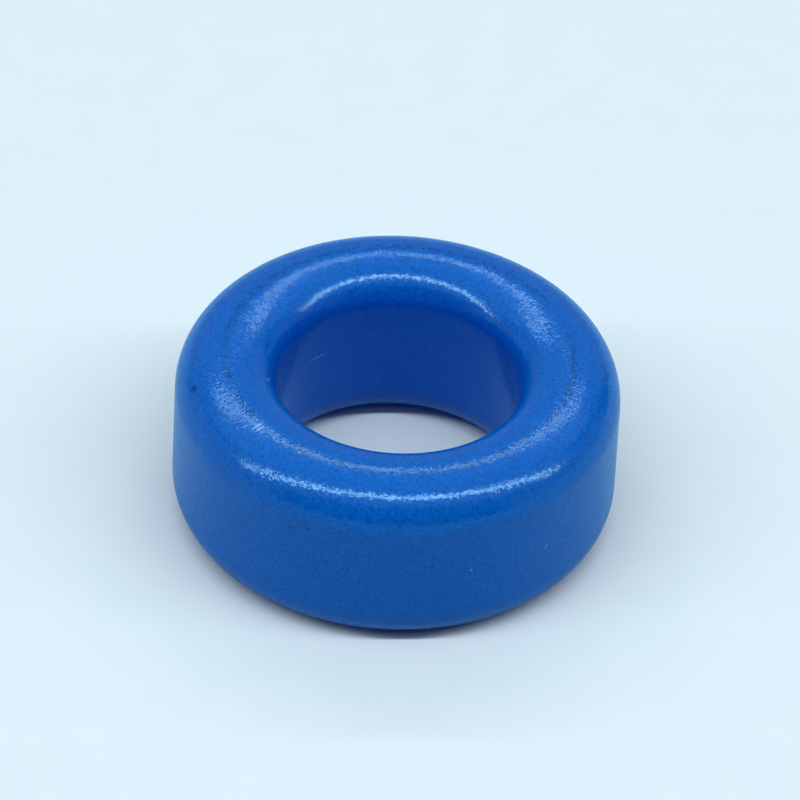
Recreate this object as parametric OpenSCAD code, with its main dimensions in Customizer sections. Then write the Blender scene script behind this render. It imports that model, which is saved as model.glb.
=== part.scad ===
// Toroid core: a pressed ferrite ring under one epoxy coat, lying on its flat side.
// All sizes are over the coat. The bore's axis is Z, and the ring rests on Z = 0.

/* [Ring] */
// Outside diameter
outer_d = 10.4; // [7:0.1:20]
// Bore diameter
bore_d = 5.7; // [1:0.1:9]
// Height between the level bands of the two faces
height = 4.35; // [1.5:0.05:12]

/* [Edges] */
// Radius that rolls each face over into the outer wall
outer_edge_r = 1.05; // [0.2:0.05:1.5]
// Radius that rolls each face down into the bore
bore_edge_r = 0.85; // [0.2:0.05:1.5]

/* [Hidden] */
$fn = 144;

outer_r = outer_d / 2;
bore_r = bore_d / 2;
wall_t = outer_r - bore_r;

// What the edges always leave: a level band on each face, and straight wall in the bore and outside
least_band = 0.2;
least_wall = 0.4;

// Both edge radii shrink alike where the wall or the height has no room for them
edge_fit = min(1,
    (wall_t - least_band) / (outer_edge_r + bore_edge_r),
    (height - least_wall) / 2 / max(outer_edge_r, bore_edge_r));
outer_round = outer_edge_r * edge_fit;
bore_round = bore_edge_r * edge_fit;

// The level band of each face runs between these two radii
band_in = bore_r + bore_round;
band_out = outer_r - outer_round;

// The section without its edges: the middle from face to face, and the two walls beside it
module straight_section() {
    polygon([
        [band_in, 0],
        [band_out, 0],
        [band_out, outer_round],
        [outer_r, outer_round],
        [outer_r, height - outer_round],
        [band_out, height - outer_round],
        [band_out, height],
        [band_in, height],
        [band_in, height - bore_round],
        [bore_r, height - bore_round],
        [bore_r, bore_round],
        [band_in, bore_round]
    ]);
}

// One wall's edges, at the lower and the upper face
module edge_pair(centre_r, round_r) {
    for (z = [round_r, height - round_r])
        translate([centre_r, z])
            circle(round_r);
}

module core() {
    color("#1d63c2")
        rotate_extrude() {
            straight_section();
            edge_pair(band_in, bore_round);
            edge_pair(band_out, outer_round);
        }
}

core();
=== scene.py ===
# Dresses one blue epoxy-coated ferrite ring, lying flat on a pale floor under long soft strip lights.
import math

import bpy
import numpy as np
from mathutils import Matrix, Vector


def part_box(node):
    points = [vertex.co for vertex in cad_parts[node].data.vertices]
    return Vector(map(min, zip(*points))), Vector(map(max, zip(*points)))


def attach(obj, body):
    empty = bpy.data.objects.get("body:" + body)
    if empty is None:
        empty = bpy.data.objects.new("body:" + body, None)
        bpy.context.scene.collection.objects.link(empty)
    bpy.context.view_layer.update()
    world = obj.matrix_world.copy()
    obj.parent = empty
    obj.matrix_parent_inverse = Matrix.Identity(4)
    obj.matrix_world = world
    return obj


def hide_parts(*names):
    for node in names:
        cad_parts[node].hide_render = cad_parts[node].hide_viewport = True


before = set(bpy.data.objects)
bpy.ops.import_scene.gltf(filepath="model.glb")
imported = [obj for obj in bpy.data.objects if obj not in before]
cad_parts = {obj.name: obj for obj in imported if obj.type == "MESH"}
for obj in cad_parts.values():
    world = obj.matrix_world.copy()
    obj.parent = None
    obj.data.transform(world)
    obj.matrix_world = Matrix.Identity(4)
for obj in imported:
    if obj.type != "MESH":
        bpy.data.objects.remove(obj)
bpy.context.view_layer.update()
millimetre = 0.001

ringLow, ringHigh = (np.array(corner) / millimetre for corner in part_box("core"))  # mm
print("stage: frame loaded, ring of", np.round(ringHigh - ringLow, 3), "mm")


# An sRGB hex colour as scene-linear red, green, blue and an alpha of 1
def srgbToLinear(hexText):
    values = np.array([int(hexText[i:i + 2], 16) for i in (1, 3, 5)]) / 255
    linear = np.where(values <= 0.04045, values / 12.92, ((values + 0.055) / 1.055) ** 2.4)
    return (*linear, 1.0)


# Adds one node. settings are its own properties. An input is given a value, another node's output, or a node,
# which stands for its first output.
def addNode(tree, kind, settings=None, inputs=None):
    node = tree.nodes.new(kind)
    for name, value in (settings or {}).items():
        setattr(node, name, value)
    for name, value in (inputs or {}).items():
        if isinstance(value, bpy.types.Node):
            value = value.outputs[0]
        if isinstance(value, bpy.types.NodeSocket):
            tree.links.new(value, node.inputs[name])
        else:
            node.inputs[name].default_value = value
    return node


# An empty node material, and its output node
def newMaterial(name):
    material = bpy.data.materials.new(name)
    material.use_nodes = True
    material.node_tree.nodes.clear()
    return material, addNode(material.node_tree, "ShaderNodeOutputMaterial")


def makeObject(name, data):
    thing = bpy.data.objects.new(name, data)
    bpy.context.scene.collection.objects.link(thing)
    return thing


# Ring: pressed ferrite under one coat, so one closed surface
ring = {
    "boreRadius": 2.85,        # mm
    "outerEdge": 1.05,         # mm, radius from face to outer wall
    "boreEdge": 0.85,          # mm, radius from face to bore
    "lowerEdge": 0.95,         # mm, radius from outer wall to the face it rests on
    "lowerBoreEdge": 1.02,     # mm, radius from bore to the face it rests on
    "crown": 1.5,              # mm, radius across the upper face's crest
    "around": 640,             # steps round the ring
    "along": 150,              # steps along the section
    "arcSteps": 160,           # points on each arc, before the section is stepped evenly
    "swellCount": 90,          # swells of the coat that are summed
    "swellSize": (0.5, 2.6),   # mm, shortest and longest
    "swellHeight": 0.003,      # mm
    "seed": 11,
}


# Centre of a circle of the crown's radius that both edge circles touch from inside, found as the upper face's
# crossing of two circles about the edge centres whose radii are the crown's less each edge's
def crownCentre(boreCentre, outerCentre):
    reachBore, reachOuter = ring["crown"] - ring["boreEdge"], ring["crown"] - ring["outerEdge"]
    across = outerCentre - boreCentre
    gap = np.linalg.norm(across)
    part = (reachBore ** 2 - reachOuter ** 2 + gap ** 2) / (2 * gap)
    dip = math.sqrt(reachBore ** 2 - part ** 2)
    down = np.array([across[1], -across[0]]) / gap
    return boreCentre + across / gap * part + down * dip


# An arc as points, centre + radius (cos a, sin a), with a running evenly between two angles
def arcPoints(centre, radius, start, end):
    angles = np.linspace(start, end, ring["arcSteps"])
    return centre + radius * np.c_[np.cos(angles), np.sin(angles)]


# The closed section as (radius, height) points at even steps: up the bore, over a bore edge arc, the crown
# arc and an outer edge arc, down the wall, and back under two edge arcs with a level band between them
def ringSection(outerRadius, height):
    boreCentre = np.array([ring["boreRadius"] + ring["boreEdge"], height - ring["boreEdge"]])
    outerCentre = np.array([outerRadius - ring["outerEdge"], height - ring["outerEdge"]])
    centre = crownCentre(boreCentre, outerCentre)
    toBore, toOuter = (math.atan2(*(edge - centre)[::-1]) for edge in (boreCentre, outerCentre))
    start = [[ring["boreRadius"], height / 2]]
    lowerOuter = np.array([outerRadius, 0]) + ring["lowerEdge"] * np.array([-1, 1])
    lowerBore = np.array([ring["boreRadius"], 0]) + ring["lowerBoreEdge"]
    outline = np.concatenate([
        start,
        arcPoints(boreCentre, ring["boreEdge"], math.pi, toBore),
        arcPoints(centre, ring["crown"], toBore, toOuter),
        arcPoints(outerCentre, ring["outerEdge"], toOuter, 0),
        arcPoints(lowerOuter, ring["lowerEdge"], 0, -math.pi / 2),
        arcPoints(lowerBore, ring["lowerBoreEdge"], -math.pi / 2, -math.pi),
        start,
    ])
    length = np.r_[0, np.cumsum(np.hypot(*np.diff(outline, axis=0).T))]
    wanted = np.linspace(0, length[-1], ring["along"], endpoint=False)
    return np.c_[np.interp(wanted, length, outline[:, 0]), np.interp(wanted, length, outline[:, 1])]


# Height of the coat's swells at each point, from -1 to 0: a sum of plane waves of random direction, length
# and phase, each as high as it is long
def swells(points):
    rng = np.random.default_rng(ring["seed"])
    count = ring["swellCount"]
    directions = rng.normal(size=(count, 3))
    directions /= np.linalg.norm(directions, axis=1)[:, None]
    lengths = np.exp(rng.uniform(*np.log(ring["swellSize"]), count))
    phases = rng.uniform(0, 2 * math.pi, count)
    waves = np.sin(points @ (directions / lengths[:, None]).T * 2 * math.pi + phases)
    total = waves @ lengths
    return (total - total.max()) / (total.max() - total.min())


# Point (u, v) is section point v turned about the bore's axis by u, then moved along its normal by the
# swells' height
def ringMesh():
    section = ringSection((ringHigh[0] - ringLow[0]) / 2, ringHigh[2] - ringLow[2])
    tangent = np.roll(section, -1, axis=0) - np.roll(section, 1, axis=0)
    tangent /= np.linalg.norm(tangent, axis=1)[:, None]
    around, along = ring["around"], ring["along"]
    turn = np.linspace(0, 2 * math.pi, around, endpoint=False)[:, None]
    level = np.ones((around, 1))
    points = np.stack([np.cos(turn) * section[:, 0], np.sin(turn) * section[:, 0],
                       level * section[:, 1]], axis=-1).reshape(-1, 3)
    normals = np.stack([np.cos(turn) * -tangent[:, 1], np.sin(turn) * -tangent[:, 1],
                        level * tangent[:, 0]], axis=-1).reshape(-1, 3)
    points += normals * (swells(points) * ring["swellHeight"])[:, None]
    u, v = np.meshgrid(np.arange(around), np.arange(along), indexing="ij")
    nextU, nextV = (u + 1) % around, (v + 1) % along
    # Along the section first and round the ring second, so that the faces point outwards
    corners = np.stack([u * along + v, u * along + nextV, nextU * along + nextV, nextU * along + v], axis=-1)
    mesh = bpy.data.meshes.new("coatedRing")
    mesh.vertices.add(len(points))
    mesh.vertices.foreach_set("co", (points * millimetre).ravel())
    mesh.loops.add(corners.size)
    mesh.loops.foreach_set("vertex_index", corners.ravel())
    mesh.polygons.add(around * along)
    mesh.polygons.foreach_set("loop_start", np.arange(around * along) * 4)
    mesh.polygons.foreach_set("use_smooth", np.ones(around * along, dtype=bool))
    mesh.update(calc_edges=True)
    mesh.validate()
    return mesh


# Epoxy powder coat, sprayed and baked: a semi-gloss blue skin. Its orange peel breaks each highlight into
# sparkle, and pigment grain, pin specks and a few scuffs keep the colour from lying flat. The bore is painted
# darker and bluer, as painted shade.
coat = {
    "blue": "#0365c9",
    "deepBlue": "#024a9c",
    # painted shade: the bore's darker, bluer colour stands in for the shade and blue bounce light inside it
    "boreShadeBlue": "#0141ba",
    "speck": "#0a2450",
    "scuff": "#86abdd",
    "tint": "#a6e3ff",         # leans the highlights to the resin's own colour
    "roughness": 0.165,
    "ior": 1.62,               # filled epoxy
    "cloudSize": 1.8,          # mm, of slow changes in the coat's depth
    "cloudRange": (0.42, 0.75),  # of the noise, from the first sign of a cloud to its middle
    "cloudDepth": 0.4,         # how far towards deepBlue
    "grainSize": 0.08,         # mm, of pigment grain
    "grainRange": (0.4, 0.7),
    "grainDepth": 0.8,
    "facetSize": 0.036,        # mm, of the peel's grains, each tilted its own way
    "facetTilt": 0.08,         # slope
    "peelSize": 0.09,          # mm, of the orange peel
    "peelHeight": 0.004,       # mm
    "rippleSize": 0.35,        # mm, of the slow ripples under the orange peel
    "rippleHeight": 0.006,     # mm
    "speckSpacing": 0.1,       # mm between pin specks
    "speckRadius": 0.022,      # mm
    "speckDepth": 0.55,        # how far towards speck
    "speckChance": (0.2, 0.95),  # of the specks' random numbers, from the faintest to the strongest
    "rubRadius": 4.07,         # mm, of a faint rubbed line near each face's crest
    "rubWidth": 0.14,          # mm
    "rubBreaks": 0.12,         # mm, between its breaks
    "rubRange": (0.44, 0.72),
    "rubDepth": 0.9,
    "boreShadeReach": (2.87, 3.1),  # mm from the axis, where the painted shade in the bore fades out
    "boreShadeDepth": 0.5,          # how far towards the bore's painted shade colour
}

# Single marks: degrees round the ring from +X, mm from the axis, mm up, half length and half width in mm,
# the turn in degrees of the long way from level on a wall or from along the ring on a face, and strength
darkMarks = [
    (193.7, 4.85, 4.06, 0.110, 0.085, 20, 0.68),
    (27.3, 2.85, 3.23, 0.080, 0.055, -60, 0.68),
    (137.0, 2.85, 3.45, 0.060, 0.045, 0, 0.68),
    (243.8, 5.20, 3.04, 0.055, 0.040, 0, 0.68),
    (248.8, 5.20, 3.17, 0.050, 0.038, 0, 0.68),
    (204.8, 5.20, 2.95, 0.090, 0.040, 80, 0.68),
    (281.0, 5.20, 2.45, 0.045, 0.035, 0, 0.68),
    (352.0, 3.62, 4.36, 0.045, 0.035, 0, 0.68),
]
paleMarks = [
    (314.0, 5.20, 2.07, 0.085, 0.022, 50, 0.6),
    (291.5, 5.20, 2.18, 0.045, 0.028, 80, 0.5),
    (193.3, 3.10, 4.08, 0.040, 0.040, 0, 0.6),
    (166.2, 3.57, 4.35, 0.045, 0.045, 0, 0.5),
    (220.5, 4.18, 4.38, 0.180, 0.024, 89, 0.9),
    (221.9, 4.20, 4.38, 0.130, 0.022, 86, 0.9),
    (132.5, 2.85, 2.50, 0.240, 0.034, 0, 0.3),
]
markReach = {
    "face": (3.0, 5.0),        # mm from the axis, between which a mark lies on a face
    "halfDepth": 0.12,         # mm, through the surface
    "edge": (0.3, 1.4),        # of its half size, from full strength to none
}


# Where the marks are: the strength of the strongest there, and 0 outside, each a soft-edged ellipsoid
def markMask(tree, place, marks):
    mask, halfDepth = None, markReach["halfDepth"]
    for angle, radius, height, halfLength, halfWidth, rise, strength in marks:
        turn, tilt = math.radians(angle), math.radians(rise)
        onFace = markReach["face"][0] < radius < markReach["face"][1]
        local = addNode(tree, "ShaderNodeMapping", {"vector_type": "TEXTURE"}, {
            "Vector": place,
            "Location": (radius * math.cos(turn), radius * math.sin(turn), height),
            "Rotation": (0, 0, turn + math.pi / 2 + tilt) if onFace else (0, -tilt, turn + math.pi / 2),
            "Scale": (halfLength, halfWidth, halfDepth) if onFace else (halfLength, halfDepth, halfWidth)})
        away = addNode(tree, "ShaderNodeVectorMath", {"operation": "LENGTH"}, {0: local})
        inside = addNode(tree, "ShaderNodeMapRange", {"interpolation_type": "SMOOTHSTEP"},
                         {"Value": away.outputs["Value"], "From Min": markReach["edge"][0],
                          "From Max": markReach["edge"][1], "To Min": strength, "To Max": 0.0})
        mask = inside if mask is None else addNode(tree, "ShaderNodeMath", {"operation": "MAXIMUM"},
                                                   {0: mask, 1: inside})
    return mask


# Colour of the coat: slow clouds and pigment grain, painted shade in the bore, then all that is darker, then
# the pale scuffs
def coatColour(tree, place):
    slow = addNode(tree, "ShaderNodeTexNoise", None,
                   {"Vector": place, "Scale": 1 / coat["cloudSize"], "Detail": 5.0, "Roughness": 0.65})
    clouds = addNode(tree, "ShaderNodeMapRange", None,
                     {"Value": slow, "From Min": coat["cloudRange"][0], "From Max": coat["cloudRange"][1],
                      "To Min": 0.0, "To Max": coat["cloudDepth"]})
    fine = addNode(tree, "ShaderNodeTexNoise", None,
                   {"Vector": place, "Scale": 1 / coat["grainSize"], "Detail": 2.0, "Roughness": 0.6})
    grain = addNode(tree, "ShaderNodeMapRange", None,
                    {"Value": fine, "From Min": coat["grainRange"][0], "From Max": coat["grainRange"][1],
                     "To Min": 0.0, "To Max": coat["grainDepth"]})
    depth = addNode(tree, "ShaderNodeMath", {"operation": "MAXIMUM"}, {0: clouds, 1: grain})
    sprayed = addNode(tree, "ShaderNodeMix", {"data_type": "RGBA"},
                      {"Factor": depth, 6: srgbToLinear(coat["blue"]), 7: srgbToLinear(coat["deepBlue"])})

    # Painted shade in the bore, darker and bluer, standing in for its shade and the blue light it throws on
    # itself, by distance from the axis
    level = addNode(tree, "ShaderNodeVectorMath", {"operation": "MULTIPLY"}, {0: place, 1: (1, 1, 0)})
    radius = addNode(tree, "ShaderNodeVectorMath", {"operation": "LENGTH"}, {0: level}).outputs["Value"]
    boreShade = addNode(tree, "ShaderNodeMapRange", None,
                   {"Value": radius, "From Min": coat["boreShadeReach"][0], "From Max": coat["boreShadeReach"][1],
                    "To Min": coat["boreShadeDepth"], "To Max": 0.0})
    pigmentAndBoreShade = addNode(tree, "ShaderNodeMix", {"data_type": "RGBA"},
                      {"Factor": boreShade, 6: sprayed.outputs[2], 7: srgbToLinear(coat["boreShadeBlue"])})

    # Pin specks: the nearest of scattered points, each as strong as its own random number
    scatter = addNode(tree, "ShaderNodeTexVoronoi", None,
                      {"Vector": place, "Scale": 1 / coat["speckSpacing"]})
    reach = coat["speckRadius"] / coat["speckSpacing"]
    speckShape = addNode(tree, "ShaderNodeMapRange", None,
                         {"Value": scatter.outputs["Distance"], "From Min": reach * 0.4,
                          "From Max": reach * 1.5, "To Min": coat["speckDepth"], "To Max": 0.0})
    chance = addNode(tree, "ShaderNodeSeparateColor", None, {"Color": scatter.outputs["Color"]})
    choice = addNode(tree, "ShaderNodeMapRange", None,
                     {"Value": chance, "From Min": coat["speckChance"][0],
                      "From Max": coat["speckChance"][1], "To Min": 0.0, "To Max": 1.0})
    specks = addNode(tree, "ShaderNodeMath", {"operation": "MULTIPLY"}, {0: speckShape, 1: choice})

    # The rubbed line: nearness to a circle about the axis, broken up by noise
    offset = addNode(tree, "ShaderNodeMath", {"operation": "SUBTRACT"}, {0: radius, 1: coat["rubRadius"]})
    offLine = addNode(tree, "ShaderNodeMath", {"operation": "ABSOLUTE"}, {0: offset})
    rubShape = addNode(tree, "ShaderNodeMapRange", None,
                       {"Value": offLine, "From Min": coat["rubWidth"] * 0.3, "From Max": coat["rubWidth"],
                        "To Min": 1.0, "To Max": 0.0})
    breaks = addNode(tree, "ShaderNodeTexNoise", None,
                     {"Vector": place, "Scale": 1 / coat["rubBreaks"], "Detail": 4.0, "Roughness": 0.75})
    wear = addNode(tree, "ShaderNodeMapRange", None,
                   {"Value": breaks, "From Min": coat["rubRange"][0], "From Max": coat["rubRange"][1],
                    "To Min": 0.0, "To Max": coat["rubDepth"]})
    rub = addNode(tree, "ShaderNodeMath", {"operation": "MULTIPLY"}, {0: rubShape, 1: wear})

    fleck = addNode(tree, "ShaderNodeMath", {"operation": "MAXIMUM"}, {0: specks, 1: rub})
    dark = addNode(tree, "ShaderNodeMath", {"operation": "MAXIMUM"},
                   {0: fleck, 1: markMask(tree, place, darkMarks)})
    worn = addNode(tree, "ShaderNodeMix", {"data_type": "RGBA"},
                   {"Factor": dark, 6: pigmentAndBoreShade.outputs[2], 7: srgbToLinear(coat["speck"])})
    return addNode(tree, "ShaderNodeMix", {"data_type": "RGBA"},
                   {"Factor": markMask(tree, place, paleMarks), 6: worn.outputs[2],
                    7: srgbToLinear(coat["scuff"])}).outputs[2]


# Surface of the coat: slow ripples, orange peel on them, and grains of peel that each lean their own way
def coatNormal(tree, place):
    swell = addNode(tree, "ShaderNodeTexNoise", None,
                    {"Vector": place, "Scale": 1 / coat["rippleSize"], "Detail": 2.0, "Roughness": 0.5})
    ripple = addNode(tree, "ShaderNodeBump", None,
                     {"Height": swell, "Distance": coat["rippleHeight"] * millimetre, "Strength": 1.0})
    skin = addNode(tree, "ShaderNodeTexNoise", None,
                   {"Vector": place, "Scale": 1 / coat["peelSize"], "Detail": 2.0, "Roughness": 0.55})
    peel = addNode(tree, "ShaderNodeBump", None,
                   {"Height": skin, "Distance": coat["peelHeight"] * millimetre, "Strength": 1.0,
                    "Normal": ripple})
    facets = addNode(tree, "ShaderNodeTexVoronoi", None, {"Vector": place, "Scale": 1 / coat["facetSize"]})
    tilt = coat["facetTilt"]
    lean = addNode(tree, "ShaderNodeVectorMath", {"operation": "MULTIPLY_ADD"},
                   {0: facets.outputs["Color"], 1: (tilt,) * 3, 2: (-tilt / 2,) * 3})
    leaning = addNode(tree, "ShaderNodeVectorMath", {"operation": "ADD"}, {0: peel, 1: lean})
    return addNode(tree, "ShaderNodeVectorMath", {"operation": "NORMALIZE"}, {0: leaning})


def epoxyPowderCoat():
    material, output = newMaterial("blueEpoxyPowderCoat")
    tree = material.node_tree
    metres = addNode(tree, "ShaderNodeTexCoord").outputs["Object"]
    place = addNode(tree, "ShaderNodeVectorMath", {"operation": "SCALE"},
                    {0: metres, "Scale": 1 / millimetre})
    shader = addNode(tree, "ShaderNodeBsdfPrincipled", None,
                     {"Base Color": coatColour(tree, place), "Roughness": coat["roughness"],
                      "IOR": coat["ior"], "Specular Tint": srgbToLinear(coat["tint"]),
                      "Normal": coatNormal(tree, place)})
    tree.links.new(shader.outputs["BSDF"], output.inputs["Surface"])
    return material


coatedRing = makeObject("coatedRing", ringMesh())
coatedRing.data.materials.append(epoxyPowderCoat())
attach(coatedRing, "root")
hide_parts("core")
print("stage: ring surface made,", len(coatedRing.data.polygons) * 2, "triangles")

# Floor: matt card, pale and slightly cool, with the least tooth of a paper surface
floor = {
    "halfSize": 0.6,           # metres
    "colour": "#dfecf1",
    "shade": "#dae8ee",
    "bounce": "#8aa9bd",       # what it throws back on the ring, cooler than it looks
    "mirror": "#8ec3e6",       # what the ring's gloss shows of it
    "roughness": 0.9,
    "fibreSize": 1.2,          # mm
}


def mattCard():
    material, output = newMaterial("mattPaleCard")
    tree = material.node_tree
    place = addNode(tree, "ShaderNodeTexCoord").outputs["Object"]
    fibres = addNode(tree, "ShaderNodeTexNoise", None,
                     {"Vector": place, "Scale": 1 / (floor["fibreSize"] * millimetre), "Detail": 4.0})
    colour = addNode(tree, "ShaderNodeMix", {"data_type": "RGBA"},
                     {"Factor": fibres.outputs["Fac"], 6: srgbToLinear(floor["colour"]),
                      7: srgbToLinear(floor["shade"])})
    path = addNode(tree, "ShaderNodeLightPath")
    thrown = addNode(tree, "ShaderNodeMix", {"data_type": "RGBA"},
                     {"Factor": path.outputs["Is Glossy Ray"], 6: srgbToLinear(floor["bounce"]),
                      7: srgbToLinear(floor["mirror"])})
    seen = addNode(tree, "ShaderNodeMix", {"data_type": "RGBA"},
                   {"Factor": path.outputs["Is Camera Ray"], 6: thrown.outputs[2], 7: colour.outputs[2]})
    shader = addNode(tree, "ShaderNodeBsdfPrincipled", None,
                     {"Base Color": seen.outputs[2], "Roughness": floor["roughness"]})
    tree.links.new(shader.outputs["BSDF"], output.inputs["Surface"])
    return material


def makeFloor():
    half = floor["halfSize"]
    mesh = bpy.data.meshes.new("floor")
    corners = [(-half, -half, 0), (half, -half, 0), (half, half, 0), (-half, half, 0)]
    mesh.from_pydata(corners, [], [(0, 1, 2, 3)])
    mesh.materials.append(mattCard())
    return makeObject("floor", mesh)


makeFloor()

# Lights: long boxes whose long sides run across the view. turn is degrees round the upright axis, and lean is
# degrees from overhead, away from the camera. The two thin ones draw the bright lines, and the wide ones fill
# in softly.
lights = {
    "topStrip": {"turn": 5.4, "lean": -19.5, "distance": 0.25, "length": 1.3, "width": 0.02, "power": 1.6},
    "rearStrip": {"turn": 5.4, "lean": 40, "distance": 0.25, "length": 0.28, "width": 0.012, "power": 0.104},
    "frontPanel": {"turn": 5.4, "lean": -36, "distance": 0.3, "length": 0.8, "width": 0.08, "power": 0.09},
    "topPanel": {"turn": 5.4, "lean": 0, "distance": 0.3, "length": 1.2, "width": 0.17, "power": 0.24},
    "rearPanel": {"turn": 5.4, "lean": 30, "distance": 0.3, "length": 0.8, "width": 0.15, "power": 0.19},
    "rearFill": {"turn": 5.4, "lean": 72, "distance": 0.35, "length": 0.7, "width": 0.3, "power": 0.15},
    "leftFill": {"turn": 90, "lean": 80, "distance": 0.3, "length": 0.4, "width": 0.15, "power": 0.06},
    "rightFill": {"turn": -90, "lean": 80, "distance": 0.3, "length": 0.4, "width": 0.15, "power": 0.04},
}
room = {"lamp": "#f4fbff", "dark": "#b4bfc6", "strength": 0.05}


def addLight(name, light):
    lamp = bpy.data.lights.new(name, "AREA")
    lamp.shape = "RECTANGLE"
    lamp.size, lamp.size_y = light["length"], light["width"]
    lamp.energy = light["power"]
    lamp.color = srgbToLinear(room["lamp"])[:3]
    thing = makeObject(name, lamp)
    thing.matrix_world = (Matrix.Translation((0, 0, ringHigh[2] * millimetre / 2))
                          @ Matrix.Rotation(math.radians(light["turn"]), 4, "Z")
                          @ Matrix.Rotation(math.radians(-light["lean"]), 4, "X")
                          @ Matrix.Translation((0, 0, light["distance"])))


for lightName, light in lights.items():
    addLight(lightName, light)

world = bpy.data.worlds.new("room")
bpy.context.scene.world = world
world.use_nodes = True
world.node_tree.nodes["Background"].inputs["Color"].default_value = srgbToLinear(room["dark"])
world.node_tree.nodes["Background"].inputs["Strength"].default_value = room["strength"]
print("stage: floor and lights placed")

# Camera: a long lens close to the ring, looking down on it from in front
view = {
    "elevation": 40.2,         # degrees
    "roll": 3.0,               # degrees
    "distance": 0.199,         # metres to the ring's middle
    "focal": 8500.0,           # in pixels of the square picture
    "picture": 800.0,          # pixels
    "ringAt": (395.8, 429.6),  # pixel of the ring's middle
    "sensor": 36.0,            # mm
    "clip": (0.01, 10.0),      # metres
}


def addCamera():
    data = bpy.data.cameras.new("camera")
    data.sensor_width = view["sensor"]
    data.lens = view["focal"] * data.sensor_width / view["picture"]
    data.clip_start, data.clip_end = view["clip"]
    thing = makeObject("camera", data)
    elevation, roll = math.radians(view["elevation"]), math.radians(view["roll"])
    forward = Vector((0, math.cos(elevation), -math.sin(elevation)))
    plainRight, plainUp = Vector((1, 0, 0)), Vector((0, math.sin(elevation), math.cos(elevation)))
    right = plainRight * math.cos(roll) + plainUp * math.sin(roll)
    up = plainUp * math.cos(roll) - plainRight * math.sin(roll)
    offRight, offDown = ((pixel - view["picture"] / 2) / view["focal"] for pixel in view["ringAt"])
    middle = Vector((0, 0, ringHigh[2] * millimetre / 2))
    eye = middle - (forward + right * offRight - up * offDown) * view["distance"]
    thing.matrix_world = Matrix.Translation(eye) @ Matrix((right, up, -forward)).transposed().to_4x4()
    bpy.context.scene.camera = thing


addCamera()
bpy.context.scene.view_settings.view_transform = "Standard"
print("stage: camera set")
